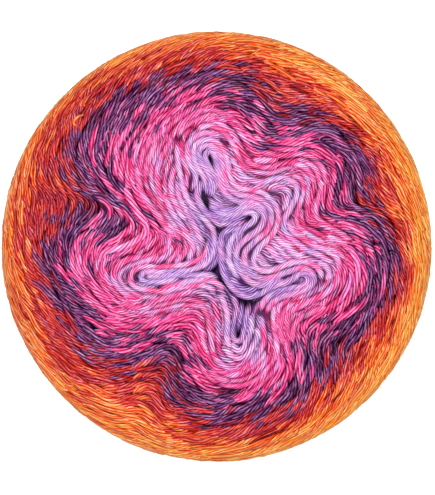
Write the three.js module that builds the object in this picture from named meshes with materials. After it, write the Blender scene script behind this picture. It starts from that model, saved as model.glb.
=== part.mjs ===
// Yarn cake: one wound body of soft four-strand yarn, lying flat.
// Its hollow core has closed up into a slit with five arms, and every layer
// of yarn wraps around that slit in five deep folds that fade out to a round rim.
// Millimetres, +Z up, origin in the middle of the flat underside.

import * as THREE from 'three';

// Driving sizes
const RADIUS = 75;
const HEIGHT = 60;
const SIDE_BELLY = 0.8;
const RIM_RADIUS = RADIUS - SIDE_BELLY;
const TOP_SHOULDER = { width: 13, height: 16 };
const BASE_SHOULDER = { width: 12, height: 12 };

// Relief of the wound layers; the ridges run along the layers, and their places are layer shares
const TOP_RIDGES = { count: 10, first: 0.05, last: 0.89, depth: 1.6 };
const BASE_LANDS = { count: 4, first: 0.12, last: 0.72, halfWidth: 0.06, grooveDepth: 1.2 };
const TOP_SLIT = { depth: 7, lip: 2.2, brow: 0.9, browShare: 0.025 };
const BASE_SLIT = { depth: 5, lip: 1.4 };
const SHOULDER_SHARES = [0.93, 0.965, 1];
const SIDE_HEIGHT_SHARES = [0.25, 0.5, 0.75];

// The layer share of each ring: 0 at the slit, 1 at the rim
const LAYER_SHARE = { slit: 0, lilac: 0.3, plum: 0.62, ember: 0.82, rim: 1 };

// Each row is one place on the folds, clockwise from the north tip, with [x, y] on four rings:
// the slit's edge, the lilac and pink border, the plum band, and the red and orange border.
const FOLDS = [
  { place: 'N tip', slit: [-3, 34], lilac: [-3, 40], plum: [-1.5, 58], ember: [-0.5, 67.5] },
  { place: 'N tip, right', slit: [-2, 30.5], lilac: [1, 38.5], plum: [5, 56.5], ember: [7.5, 66] },
  { place: 'N lobe flank', slit: [-3, 23], lilac: [4.5, 35], plum: [11, 53], ember: [13.5, 64.5] },
  { place: 'N lobe foot', slit: [-2.5, 14.5], lilac: [7.5, 29.5], plum: [15.5, 49], ember: [19, 61.5] },
  { place: 'NE valley', slit: [0.5, 10.5], lilac: [11, 25.5], plum: [20, 44.5], ember: [23.5, 58.5] },
  { place: 'NE lobe, left', slit: [4, 8.5], lilac: [17.5, 24.5], plum: [29.5, 42.5], ember: [33.5, 53] },
  { place: 'NE lobe, top', slit: [8.5, 9.5], lilac: [26, 27], plum: [39.5, 40], ember: [45, 44] },
  { place: 'NE tip', slit: [13, 12], lilac: [31.5, 23], plum: [46, 32.5], ember: [55.5, 33] },
  { place: 'NE lobe flank', slit: [12, 9.5], lilac: [30.5, 17], plum: [47.5, 26.5], ember: [58.5, 26.5] },
  { place: 'NE lobe foot', slit: [5, 4.5], lilac: [27.5, 11.5], plum: [46.5, 20], ember: [60, 21] },
  { place: 'E valley', slit: [1.5, -1.5], lilac: [26.5, 6.5], plum: [45.5, 15], ember: [61.5, 14.5] },
  { place: 'E lobe foot', slit: [2.5, -8.5], lilac: [29.5, 3.5], plum: [49, 12], ember: [63, 10] },
  { place: 'E lobe flank', slit: [7, -16], lilac: [34, 0.5], plum: [53.5, 8.5], ember: [64.5, 5] },
  { place: 'E lobe, top', slit: [17, -15], lilac: [39, -1.5], plum: [57, 2], ember: [65.5, -0.5] },
  { place: 'E tip', slit: [30.5, -11], lilac: [42, -7.5], plum: [58.5, -6.5], ember: [66, -6.5] },
  { place: 'E tip, below', slit: [26, -14], lilac: [38.5, -14.5], plum: [56, -19], ember: [64.5, -16] },
  { place: 'E lobe, below', slit: [19, -16.5], lilac: [29.5, -17.5], plum: [47.5, -28.5], ember: [60, -27.5] },
  { place: 'SE valley', slit: [13, -18.5], lilac: [21, -20], plum: [37.5, -34], ember: [52.5, -37] },
  { place: 'S lobe foot', slit: [10, -21.5], lilac: [19, -26], plum: [34, -42], ember: [41.5, -51] },
  { place: 'S lobe flank', slit: [8.5, -27.5], lilac: [19, -34.5], plum: [26, -51], ember: [26, -62] },
  { place: 'S tip', slit: [7.5, -33], lilac: [8.5, -42.5], plum: [9.5, -56], ember: [4, -66] },
  { place: 'S tip, left', slit: [6.5, -27.5], lilac: [0.5, -38], plum: [-4, -53.5], ember: [-9, -64] },
  { place: 'S lobe, left', slit: [7.5, -21.5], lilac: [-0.5, -28.5], plum: [-11.5, -46], ember: [-18, -60.5] },
  { place: 'SW valley', slit: [4.5, -15], lilac: [-3, -19], plum: [-16, -36], ember: [-24, -51] },
  { place: 'W lobe foot', slit: [0.5, -10], lilac: [-9, -17], plum: [-24.5, -37], ember: [-36, -49.5] },
  { place: 'W lobe flank', slit: [-7, -11], lilac: [-19.5, -18.5], plum: [-37.5, -36.5], ember: [-49, -40.5] },
  { place: 'W lobe, below', slit: [-16, -12.5], lilac: [-29.5, -19], plum: [-49.5, -21.5], ember: [-60, -26] },
  { place: 'W tip', slit: [-26.5, -11], lilac: [-35.5, -10.5], plum: [-57, -4], ember: [-66, -5.5] },
  { place: 'W tip, above', slit: [-18, -9], lilac: [-31.5, -6.5], plum: [-53.5, 5.5], ember: [-65, 2] },
  { place: 'W lobe, above', slit: [-7.5, -8.5], lilac: [-16.5, -6], plum: [-46, 9.5], ember: [-64, 10] },
  { place: 'NW valley', slit: [-0.5, -3.5], lilac: [-9.5, -1], plum: [-38.5, 13], ember: [-60.5, 18] },
  { place: 'NW lobe foot', slit: [0.5, 3], lilac: [-11, 5], plum: [-42.5, 21], ember: [-60.5, 23.5] },
  { place: 'NW lobe flank', slit: [-1.5, 10], lilac: [-16, 13], plum: [-46, 31.5], ember: [-58.5, 31.5] },
  { place: 'NW lobe, top', slit: [-5, 15.5], lilac: [-19, 21.5], plum: [-41.5, 42], ember: [-52.5, 43.5] },
  { place: 'N tip, far left', slit: [-4.5, 23.5], lilac: [-16, 30], plum: [-32.5, 49.5], ember: [-37.5, 57] },
  { place: 'N tip, left', slit: [-5, 30], lilac: [-10, 37.5], plum: [-18, 55], ember: [-19.5, 64.5] },
];

const STEPS_PER_FOLD = 3;
const STATIONS = FOLDS.length * STEPS_PER_FOLD;
const TABLE_RINGS = ['slit', 'lilac', 'plum', 'ember'];

// One closed smooth curve through a column of the fold table
function ringCurve(column) {
  const knots = FOLDS.map((row) => new THREE.Vector3(row[column][0], row[column][1], 0));
  return new THREE.CatmullRomCurve3(knots, true, 'centripetal');
}

// The points of every ring at every station, with the round rim as the last ring
function ringPoints() {
  const rings = TABLE_RINGS.map((column) => {
    const curve = ringCurve(column);
    return Array.from({ length: STATIONS }, (_, station) => curve.getPoint(station / STATIONS));
  });
  const ember = rings[rings.length - 1];
  rings.push(ember.map((point) => point.clone().setLength(RIM_RADIUS)));
  return rings;
}

const RINGS = ringPoints();
const RING_SHARES = [...TABLE_RINGS, 'rim'].map((ring) => LAYER_SHARE[ring]);

// Where the layer of a given share passes a station
function layerPoint(share, station) {
  const found = RING_SHARES.findIndex((ringShare) => share < ringShare);
  const outer = found === -1 ? RING_SHARES.length - 1 : found;
  const inner = outer - 1;
  const blend = (share - RING_SHARES[inner]) / (RING_SHARES[outer] - RING_SHARES[inner]);
  return RINGS[inner][station].clone().lerp(RINGS[outer][station], blend);
}

// How far a rounded shoulder has dropped at a distance from the middle
function shoulderDrop(reach, shoulder) {
  const along = (reach - RIM_RADIUS + shoulder.width) / shoulder.width;
  const clamped = THREE.MathUtils.clamp(along, 0, 1);
  return shoulder.height * (1 - Math.sqrt(1 - clamped * clamped));
}

// Rows across the top: the slit's floor and wall, its brow, the ridges and the shoulder
function topRows() {
  const { count, first, last, depth } = TOP_RIDGES;
  const rows = [
    { share: 0, sink: TOP_SLIT.depth },
    { share: 0, sink: TOP_SLIT.lip },
    { share: TOP_SLIT.browShare, sink: TOP_SLIT.brow },
  ];
  const steps = 2 * (count - 1);
  for (let step = 0; step <= steps; step += 1) {
    const isGroove = step % 2 === 1;
    rows.push({ share: THREE.MathUtils.lerp(first, last, step / steps), sink: isGroove ? depth : 0 });
  }
  SHOULDER_SHARES.forEach((share) => rows.push({ share, sink: 0 }));
  return rows.map(({ share, sink }) => ({
    share,
    height: (reach) => HEIGHT - sink - shoulderDrop(reach, TOP_SHOULDER),
  }));
}

// Rows down the side, which bellies out a little at mid height
function sideRows() {
  const top = HEIGHT - TOP_SHOULDER.height;
  const base = BASE_SHOULDER.height;
  return SIDE_HEIGHT_SHARES.map((along) => ({
    share: 1,
    belly: SIDE_BELLY * (1 - (2 * along - 1) ** 2),
    height: () => THREE.MathUtils.lerp(top, base, along),
  }));
}

// Rows across the underside, from the rim in to the slit: flat lands with grooves between them
function baseRows() {
  const { count, first, last, halfWidth, grooveDepth } = BASE_LANDS;
  const rows = SHOULDER_SHARES.map((share) => ({ share, rise: 0 })).reverse();
  const pitch = (last - first) / (count - 1);
  for (let land = count - 1; land >= 0; land -= 1) {
    const middle = first + land * pitch;
    rows.push({ share: middle + halfWidth, rise: 0 });
    rows.push({ share: middle - halfWidth, rise: 0 });
    if (land > 0) rows.push({ share: middle - pitch / 2, rise: grooveDepth });
  }
  rows.push({ share: 0, rise: BASE_SLIT.lip });
  rows.push({ share: 0, rise: BASE_SLIT.depth });
  return rows.map(({ share, rise }) => ({
    share,
    height: (reach) => rise + shoulderDrop(reach, BASE_SHOULDER),
  }));
}

// The points of one row, all the way round
function rowPoints({ share, belly = 0, height }) {
  return Array.from({ length: STATIONS }, (_, station) => {
    const point = layerPoint(share, station);
    const reach = point.length();
    point.setLength(reach + belly);
    point.z = height(reach);
    return point;
  });
}

// Closes the floor of a slit with triangles that face up or down
function capFaces(outline, firstIndex, facesUp) {
  const flat = outline.map((point) => new THREE.Vector2(point.x, point.y));
  return THREE.ShapeUtils.triangulateShape(flat, []).flatMap(([a, b, c]) => {
    const isUp = THREE.ShapeUtils.area([flat[a], flat[b], flat[c]]) > 0;
    const order = isUp === facesUp ? [a, b, c] : [a, c, b];
    return order.map((index) => firstIndex + index);
  });
}

// The wound body: rows of points skinned from the upper slit, over the rim, to the lower slit
function woundBodyGeometry() {
  const rows = [...topRows(), ...sideRows(), ...baseRows()].map(rowPoints);
  const lastRow = rows.length - 1;
  const faces = [];
  for (let row = 0; row < lastRow; row += 1) {
    for (let station = 0; station < STATIONS; station += 1) {
      const next = (station + 1) % STATIONS;
      const before = row * STATIONS;
      const after = before + STATIONS;
      faces.push(before + station, before + next, after + next);
      faces.push(before + station, after + next, after + station);
    }
  }
  faces.push(...capFaces(rows[0], 0, true));
  faces.push(...capFaces(rows[lastRow], lastRow * STATIONS, false));

  const positions = rows.flat().flatMap((point) => [point.x, point.y, point.z]);
  const geometry = new THREE.BufferGeometry();
  geometry.setAttribute('position', new THREE.Float32BufferAttribute(positions, 3));
  geometry.setIndex(faces);
  geometry.computeVertexNormals();
  return geometry;
}

function woundYarn() {
  const yarn = new THREE.MeshStandardMaterial({ color: 0xc24a6e, roughness: 0.85, metalness: 0 });
  const body = new THREE.Mesh(woundBodyGeometry(), yarn);
  body.name = 'wound_yarn';
  return body;
}

const cake = new THREE.Group();
cake.add(woundYarn());

export default cake;
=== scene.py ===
# Yarn cake: a flat round cake of colour-changing yarn, seen from straight above.
# The cake is an inner body, painted dark as shade, dressed with strands that follow its folded layers:
# over the top, round the shoulder, across the side in crossed windings, and under the base.

import math

import bmesh
import bpy
import numpy as np
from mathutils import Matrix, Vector


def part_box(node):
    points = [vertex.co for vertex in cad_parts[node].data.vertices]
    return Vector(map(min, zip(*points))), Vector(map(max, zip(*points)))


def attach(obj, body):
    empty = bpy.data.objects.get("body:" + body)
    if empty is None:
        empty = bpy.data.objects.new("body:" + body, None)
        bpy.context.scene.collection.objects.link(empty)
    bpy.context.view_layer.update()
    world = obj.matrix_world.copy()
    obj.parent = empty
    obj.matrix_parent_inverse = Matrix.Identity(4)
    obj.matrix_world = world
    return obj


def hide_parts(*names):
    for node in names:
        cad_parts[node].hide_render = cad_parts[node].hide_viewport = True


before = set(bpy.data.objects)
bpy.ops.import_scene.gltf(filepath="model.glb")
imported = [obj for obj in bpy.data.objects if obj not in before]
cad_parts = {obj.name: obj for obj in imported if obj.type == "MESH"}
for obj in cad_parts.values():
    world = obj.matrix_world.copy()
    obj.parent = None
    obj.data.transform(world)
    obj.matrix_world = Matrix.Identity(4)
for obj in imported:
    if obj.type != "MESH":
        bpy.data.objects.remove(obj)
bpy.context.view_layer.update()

NODE = "wound_yarn"
BODY = "root"
MM = 0.001

# Driving sizes, in millimetres; the radius and the height come from the frame
node_low, node_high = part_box(NODE)
RADIUS = (node_high.x - node_low.x) / 2 / MM
HEIGHT = node_high.z / MM
SIDE_BELLY = 0.8
RIM_RADIUS = RADIUS - SIDE_BELLY
TOP_SHOULDER = {"width": 13.0, "height": 16.0}
BASE_SHOULDER = {"width": 12.0, "height": 12.0}
SLIT_DEPTH = 7.0
LIP_SHARE = 0.05
SEAM_SINK = 0.8
SEAM_SHARE = 0.1
ROUND_PITCH = 0.0933
ROUND_RELIEF = 0.5
ROUND_FADE = 0.1

# The layer share of each ring: 0 at the edge of the slit, 1 at the rim, and less than 0 inside the slit
LAYER_SHARE = {"seam": -SEAM_SHARE, "slit": 0.0, "lilac": 0.3, "plum": 0.62, "ember": 0.82, "rim": 1.0}
TABLE_RINGS = ("slit", "lilac", "plum", "ember")

# Each row is one place on the folds, clockwise from the north tip, with (x, y) on four rings:
# the slit's edge, the lilac and pink border, the plum band, and the red and orange border.
FOLDS = (
    dict(at="N tip", slit=(-3, 34), lilac=(-3, 40), plum=(-1.5, 58), ember=(-0.5, 67.5)),
    dict(at="N tip, right", slit=(-2, 30.5), lilac=(1, 38.5), plum=(5, 56.5), ember=(7.5, 66)),
    dict(at="N lobe flank", slit=(-3, 23), lilac=(4.5, 35), plum=(11, 53), ember=(13.5, 64.5)),
    dict(at="N lobe foot", slit=(-2.5, 14.5), lilac=(7.5, 29.5), plum=(15.5, 49), ember=(19, 61.5)),
    dict(at="NE valley", slit=(0.5, 10.5), lilac=(11, 25.5), plum=(20, 44.5), ember=(23.5, 58.5)),
    dict(at="NE lobe, left", slit=(4, 8.5), lilac=(17.5, 24.5), plum=(29.5, 42.5), ember=(33.5, 53)),
    dict(at="NE lobe, top", slit=(8.5, 9.5), lilac=(26, 27), plum=(39.5, 40), ember=(45, 44)),
    dict(at="NE tip", slit=(13, 12), lilac=(31.5, 23), plum=(46, 32.5), ember=(55.5, 33)),
    dict(at="NE lobe flank", slit=(12, 9.5), lilac=(30.5, 17), plum=(47.5, 26.5), ember=(58.5, 26.5)),
    dict(at="NE lobe foot", slit=(5, 4.5), lilac=(27.5, 11.5), plum=(46.5, 20), ember=(60, 21)),
    dict(at="E valley", slit=(1.5, -1.5), lilac=(26.5, 6.5), plum=(45.5, 15), ember=(61.5, 14.5)),
    dict(at="E lobe foot", slit=(2.5, -8.5), lilac=(29.5, 3.5), plum=(49, 12), ember=(63, 10)),
    dict(at="E lobe flank", slit=(7, -16), lilac=(34, 0.5), plum=(53.5, 8.5), ember=(64.5, 5)),
    dict(at="E lobe, top", slit=(17, -15), lilac=(39, -1.5), plum=(57, 2), ember=(65.5, -0.5)),
    dict(at="E tip", slit=(30.5, -11), lilac=(42, -7.5), plum=(58.5, -6.5), ember=(66, -6.5)),
    dict(at="E tip, below", slit=(26, -14), lilac=(38.5, -14.5), plum=(56, -19), ember=(64.5, -16)),
    dict(at="E lobe, below", slit=(19, -16.5), lilac=(29.5, -17.5), plum=(47.5, -28.5), ember=(60, -27.5)),
    dict(at="SE valley", slit=(13, -18.5), lilac=(21, -20), plum=(37.5, -34), ember=(52.5, -37)),
    dict(at="S lobe foot", slit=(10, -21.5), lilac=(19, -26), plum=(34, -42), ember=(41.5, -51)),
    dict(at="S lobe flank", slit=(8.5, -27.5), lilac=(19, -34.5), plum=(26, -51), ember=(26, -62)),
    dict(at="S tip", slit=(7.5, -33), lilac=(8.5, -42.5), plum=(9.5, -56), ember=(4, -66)),
    dict(at="S tip, left", slit=(6.5, -27.5), lilac=(0.5, -38), plum=(-4, -53.5), ember=(-9, -64)),
    dict(at="S lobe, left", slit=(7.5, -21.5), lilac=(-0.5, -28.5), plum=(-11.5, -46), ember=(-18, -60.5)),
    dict(at="SW valley", slit=(4.5, -15), lilac=(-3, -19), plum=(-16, -36), ember=(-24, -51)),
    dict(at="W lobe foot", slit=(0.5, -10), lilac=(-9, -17), plum=(-24.5, -37), ember=(-36, -49.5)),
    dict(at="W lobe flank", slit=(-7, -11), lilac=(-19.5, -18.5), plum=(-37.5, -36.5), ember=(-49, -40.5)),
    dict(at="W lobe, below", slit=(-16, -12.5), lilac=(-29.5, -19), plum=(-49.5, -21.5), ember=(-60, -26)),
    dict(at="W tip", slit=(-26.5, -11), lilac=(-35.5, -10.5), plum=(-57, -4), ember=(-66, -5.5)),
    dict(at="W tip, above", slit=(-18, -9), lilac=(-31.5, -6.5), plum=(-53.5, 5.5), ember=(-65, 2)),
    dict(at="W lobe, above", slit=(-7.5, -8.5), lilac=(-16.5, -6), plum=(-46, 9.5), ember=(-64, 10)),
    dict(at="NW valley", slit=(-0.5, -3.5), lilac=(-9.5, -1), plum=(-38.5, 13), ember=(-60.5, 18)),
    dict(at="NW lobe foot", slit=(0.5, 3), lilac=(-11, 5), plum=(-42.5, 21), ember=(-60.5, 23.5)),
    dict(at="NW lobe flank", slit=(-1.5, 10), lilac=(-16, 13), plum=(-46, 31.5), ember=(-58.5, 31.5)),
    dict(at="NW lobe, top", slit=(-5, 15.5), lilac=(-19, 21.5), plum=(-41.5, 42), ember=(-52.5, 43.5)),
    dict(at="N tip, far left", slit=(-4.5, 23.5), lilac=(-16, 30), plum=(-32.5, 49.5), ember=(-37.5, 57)),
    dict(at="N tip, left", slit=(-5, 30), lilac=(-10, 37.5), plum=(-18, 55), ember=(-19.5, 64.5)),
)

# A place on the cake is (lap, station). A station runs clockwise through the rows of the table.
# A lap is 0 to 1 over the top from the slit to the rim, 1 to 2 down the side, 2 to 3 back under
# the base to the slit; below 0 and above 3 it goes down the walls of the slit.
STATIONS = len(FOLDS)
FINE_STEPS = 24
WALL_LAPS = 0.3


# Folded layers


def closed_curve(knots, steps):
    """A smooth closed curve through the knots, with the same number of points between each two."""
    around = [np.roll(knots, shift, axis=0) for shift in (1, 0, -1, -2)]
    before, start, end, after = around
    gaps = [np.sqrt(np.linalg.norm(b - a, axis=1))[:, None] for a, b in zip(around, around[1:])]
    first, middle, last = gaps
    leave = ((start - before) / first - (end - before) / (first + middle) + (end - start) / middle) * middle
    arrive = ((end - start) / middle - (after - start) / (middle + last) + (after - end) / last) * middle
    points = []
    for part in np.linspace(0, 1, steps, endpoint=False):
        square = (3 * (end - start) - 2 * leave - arrive) * part**2
        cube = (2 * (start - end) + leave + arrive) * part**3
        points.append(start + leave * part + square + cube)
    return np.stack(points, axis=1).reshape(-1, 2)


def open_curve(points, steps):
    """A smooth open curve through the points."""
    points = np.array(points, float)
    knots = np.vstack([2 * points[0] - points[1], points, 2 * points[-1] - points[-2]])
    return closed_curve(knots, steps)[steps : -2 * steps]


# How far the seam in the slit lies from its edge at most, and over how many points that is evened out
SEAM_REACH = 2.5
SEAM_EVENING = 4


def seam_ring(edge):
    """A ring inside the slit's edge, towards its middle."""
    along = unit(np.roll(edge, -2, axis=0) - np.roll(edge, 2, axis=0))
    inward = np.column_stack([along[:, 1], -along[:, 0]])
    apart = edge[None] - edge[:, None]
    ahead = np.sum(apart * inward[:, None], axis=2)
    square = np.sum(apart * apart, axis=2)
    faces = (ahead > 0.05) & (square > 0.5)
    half = np.where(faces, square / np.maximum(2 * ahead, 0.1), SEAM_REACH).min(axis=1)
    half = np.minimum(half, SEAM_REACH)
    shifts = range(-SEAM_EVENING, SEAM_EVENING + 1)
    half = sum(np.roll(half, shift) for shift in shifts) / len(shifts)
    return edge + inward * half[:, None]


def ring_points():
    """The points of every ring, from the middle of the slit to the round rim."""
    tables = [np.array([row[ring] for row in FOLDS], float) for ring in TABLE_RINGS]
    rings = [closed_curve(table, FINE_STEPS) for table in tables]
    ember = rings[-1]
    rim = ember / np.linalg.norm(ember, axis=1)[:, None] * RIM_RADIUS
    return np.stack([seam_ring(rings[0]), *rings, rim])


def unit(vectors):
    return vectors / np.maximum(np.linalg.norm(vectors, axis=-1, keepdims=True), 1e-12)


RINGS = ring_points()
RING_SHARES = np.array([LAYER_SHARE[ring] for ring in ("seam", *TABLE_RINGS, "rim")])


def layer_xy(share, station):
    """Where the layer of a given share passes a station."""
    fine = station * FINE_STEPS
    low = np.floor(fine).astype(int)
    part = (fine - low)[:, None]
    count = RINGS.shape[1]
    rings = RINGS[:, low % count] * (1 - part) + RINGS[:, (low + 1) % count] * part
    outer = np.clip(np.searchsorted(RING_SHARES, share, side="right"), 1, len(RING_SHARES) - 1)
    inner = outer - 1
    blend = ((share - RING_SHARES[inner]) / (RING_SHARES[outer] - RING_SHARES[inner]))[:, None]
    each = np.arange(len(share))
    return rings[inner, each] * (1 - blend) + rings[outer, each] * blend


def shoulder_drop(reach, shoulder):
    """How far a rounded shoulder has dropped at a distance from the middle."""
    along = np.clip((reach - RIM_RADIUS + shoulder["width"]) / shoulder["width"], 0, 1)
    return shoulder["height"] * (1 - np.sqrt(1 - along * along))


# How far the edge of the slit dips, in millimetres, at every second place of the table
SLIT_LIPS = (0.5, 0.5, 0.2, 0.4, 0.3, 0.0, 0.0, 0.4, 0.8, 0.8, 0.4, 0.5, 0.9, 0.5, 0.4, 0.6, 0.4, 0.5)

# How far the strands turn outwards from the layers, in degrees, at the same places
DRIFTS = (10, 3, -2, 0, 5, 14, -1, -1, 9, 10, 11, 0, 2, 1, 13, 14, -2, 8)


def at_places(values, station):
    """Reads a row of values given at every second place of the table."""
    return np.interp(station % STATIONS, np.arange(len(values) + 1) * 2, values + values[:1])


def layer_sink(share, station):
    """How far the layers dip towards the slit and between the rounds."""
    lip = at_places(SLIT_LIPS, station) * np.clip(1 - share / LIP_SHARE, 0, 1) ** 2
    lip = lip + SEAM_SINK * np.clip(-share / SEAM_SHARE, 0, 1)
    rounds = ROUND_RELIEF / 2 * (1 - np.cos(2 * math.pi * (share - LIP_SHARE) / ROUND_PITCH))
    fade = np.clip(share / LIP_SHARE, 0, 1) * np.clip((1 - share) / ROUND_FADE, 0, 1)
    return lip + rounds * fade


def cake_surface(lap, station):
    """The point of the cake's surface at a lap and a station, in millimetres."""
    share = np.minimum(np.where(lap < 1.5, lap, 3 - lap), 1)
    place = layer_xy(share, station)
    reach = np.linalg.norm(place, axis=1)
    sink = layer_sink(share, station)
    top = HEIGHT - sink - shoulder_drop(reach, TOP_SHOULDER)
    base = sink + shoulder_drop(reach, BASE_SHOULDER)
    down = np.clip(lap - 1, 0, 1)
    side_top = HEIGHT - TOP_SHOULDER["height"]
    side = side_top + (BASE_SHOULDER["height"] - side_top) * down
    height = np.where(lap <= 1, top, np.where(lap >= 2, base, side))
    belly = SIDE_BELLY * (1 - (2 * down - 1) ** 2)
    place = place * (1 + belly / np.maximum(reach, 1))[:, None]
    return np.column_stack([place, height])


# The surface on a fine grid of laps and stations

LAP_STEP = 0.005
LAP_RANGE = (-0.1, 3.1)
NUDGE = 1e-3
SMALLEST = 1e-6


def surface_grid():
    """Points, outward normals, and the grid moves for a millimetre along and across the layers."""
    laps = np.arange(LAP_RANGE[0], LAP_RANGE[1] + LAP_STEP / 2, LAP_STEP)
    stations = np.arange(STATIONS * FINE_STEPS) / FINE_STEPS
    lap, station = (axis.ravel() for axis in np.meshgrid(laps, stations, indexing="ij"))
    here = cake_surface(lap, station)
    by_station = (cake_surface(lap, station + NUDGE) - here) / NUDGE
    by_lap = (cake_surface(lap + NUDGE, station) - here) / NUDGE
    normal = unit(np.cross(by_station, by_lap))
    drift = np.radians(layer_drift(lap, station))[:, None]
    level = unit(by_station)
    rise = np.cross(normal, level)
    along = level * np.cos(drift) + rise * np.sin(drift)
    across = rise * np.cos(drift) - level * np.sin(drift)
    laps_squared = np.sum(by_lap * by_lap, axis=1)
    mixed = np.sum(by_lap * by_station, axis=1)
    stations_squared = np.sum(by_station * by_station, axis=1)
    whole = np.maximum(laps_squared * stations_squared - mixed * mixed, SMALLEST)
    moves = []
    for heading in (along, across):
        on_lap = np.sum(heading * by_lap, axis=1)
        on_station = np.sum(heading * by_station, axis=1)
        moves.append((on_lap * stations_squared - on_station * mixed) / whole)
        moves.append((on_station * laps_squared - on_lap * mixed) / whole)
    shape = (len(laps), len(stations), -1)
    return here.reshape(shape), normal.reshape(shape), np.stack(moves, axis=1).reshape(shape)


def look_up(grid, lap, station):
    """Reads a grid between its lines."""
    row = np.clip((lap - LAP_RANGE[0]) / LAP_STEP, 0, grid.shape[0] - 1.001)
    column = station * FINE_STEPS
    low_row = row.astype(int)
    low_column = np.floor(column).astype(int)
    part_row = (row - low_row)[..., None]
    part_column = (column - low_column)[..., None]
    left, right = low_column % grid.shape[1], (low_column + 1) % grid.shape[1]
    near = grid[low_row, left] * (1 - part_column) + grid[low_row, right] * part_column
    far = grid[low_row + 1, left] * (1 - part_column) + grid[low_row + 1, right] * part_column
    return near * (1 - part_row) + far * part_row


DRIFT_START = 0.05
DRIFT_RISE = 0.2
RIM_DRIFT = 4
RIM_FADE = 0.15


def layer_drift(lap, station):
    """The drift of the strands, in degrees: as given over the top, the same all round at the rim."""
    drift = at_places(DRIFTS, station) * np.clip((lap - DRIFT_START) / DRIFT_RISE, 0, 1)
    drift = RIM_DRIFT + (drift - RIM_DRIFT) * np.clip((1 - lap) / RIM_FADE, 0, 1)
    return np.where(lap < 1, drift, np.where(lap < 2, 0, -RIM_DRIFT))


def grid_row(lap):
    return int((lap - LAP_RANGE[0]) / LAP_STEP)


POINTS, NORMALS, MOVES = surface_grid()


# Laying the strands

# How thick the strands are at these layer shares, in millimetres
THICKNESS_SHARES = (0.1, 0.3, 0.5, 0.65, 0.8, 0.9, 1.0)
THICKNESS = (2.3, 2.15, 2.05, 1.9, 1.8, 2.0, 2.1)
UNEVEN = 0.16
UNEVEN_LIFT = 0.22

# A strand's path goes in steps of this many millimetres; its last steps are tucked under the next strands
STEP = 1.1
TUCK_STEPS = 3
OPEN_STEPS = 2

# How near strands lie, as shares of a thickness: a strand to its neighbours, a filler to what it fills
CLOSE = 0.82
CLOSE_FILLER = 0.52
BESIDE = 0.95

# How many strands are tried at a time, and how often
MOST_AT_ONCE = 1500
SEEDS = 3000
SEED_CHOICE = 6
FIRST_SEEDS = 20
GENERATIONS = 90
FILLER_SEEDS = 12000
FILLER_ROUNDS = 4


def strand_thickness(lap):
    """Strands are looser, so thicker, near the core."""
    share = np.where(lap < 1.5, lap, 3 - lap)
    return np.interp(share, THICKNESS_SHARES, THICKNESS)


def flat_plan(points):
    """Unrolls the shoulders into the plane of the top or the base."""
    reach = np.linalg.norm(points[:, :2], axis=1)
    fall = np.where(points[:, 2] > HEIGHT / 2, HEIGHT - points[:, 2], points[:, 2])
    start = RIM_RADIUS - TOP_SHOULDER["width"]
    bent = np.clip(reach - start, 0, None)
    unrolled = np.where(reach > start, start + np.hypot(bent, fall) * 1.1, reach)
    return points[:, :2] * (unrolled / np.maximum(reach, 1e-6))[:, None]


def side_plan(points):
    """Unrolls the side: the distance round the cake, and the height."""
    turn = np.arctan2(points[:, 1], points[:, 0]) * RADIUS
    return np.column_stack([turn, points[:, 2]])


class Field:
    """Two rasters of what is covered: one keeps strands apart, one shows the gaps left over."""

    CELL = 0.2

    def __init__(self, plan, low, high):
        self.plan = plan
        self.low = np.array(low)
        self.size = np.ceil((np.array(high) - self.low) / self.CELL).astype(int)
        self.taken = np.zeros(self.size, bool)
        self.filled = np.zeros(self.size, bool)

    def cells(self, points):
        return np.floor((self.plan(points) - self.low) / self.CELL).astype(int)

    def is_free(self, points, raster):
        cell = self.cells(points) % self.size
        return ~raster[cell[:, 0], cell[:, 1]]

    def cover(self, points, thickness):
        cell = self.cells(points)
        for raster, share in ((self.taken, CLOSE), (self.filled, CLOSE_FILLER)):
            distance = thickness * share / self.CELL
            reach = int(distance) + 1
            offset = np.arange(-reach, reach + 1)
            dx, dy = np.meshgrid(offset, offset, indexing="ij")
            disc = dx**2 + dy**2 <= distance**2
            x = (cell[:, :1] + dx[disc][None]) % self.size[0]
            y = (cell[:, 1:] + dy[disc][None]) % self.size[1]
            raster[x, y] = True


def trace(lap, station, slant, steps, limits):
    """Paths both ways from the seeds, with the seed in the middle."""
    cosine, sine = np.cos(slant)[:, None], np.sin(slant)[:, None]

    def move(place, step):
        moves = look_up(MOVES, place[:, 0], place[:, 1])
        return step * (cosine * moves[:, :2] + sine * moves[:, 2:])

    seed = np.column_stack([lap, station])
    ways = []
    for sign in (-1, 1):
        place = seed
        way = []
        for _ in range(steps):
            half = place + move(place, sign * STEP / 2)
            place = place + move(half, sign * STEP)
            place[:, 0] = np.clip(place[:, 0], *limits)
            way.append(place)
        ways.append(way)
    path = ways[0][::-1] + [seed] + ways[1]
    return np.stack(path, axis=1)


def seeds(rng, count, laps):
    """Places spread evenly over the surface between two laps."""
    lap = rng.uniform(*laps, count * SEED_CHOICE)
    station = rng.uniform(0, STATIONS, count * SEED_CHOICE)
    moves = look_up(MOVES, lap, station)
    area = 1 / np.maximum(np.abs(moves[:, 0] * moves[:, 3] - moves[:, 1] * moves[:, 2]), 1e-9)
    keep = rng.uniform(0, np.quantile(area, 0.98), len(area)) < area
    return lap[keep][:count], station[keep][:count]


def beside(strands):
    """Places just next to the strands, on both sides."""
    spots = []
    for strand in strands:
        path = strand["path"][TUCK_STEPS : -TUCK_STEPS or None : 3]
        across = look_up(MOVES, path[:, 0], path[:, 1])[:, 2:]
        for sign in (-1, 1):
            spots.append(path + sign * across * strand["thickness"] * BESIDE)
    spots = np.concatenate(spots)
    return spots[:, 0], spots[:, 1]


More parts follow.
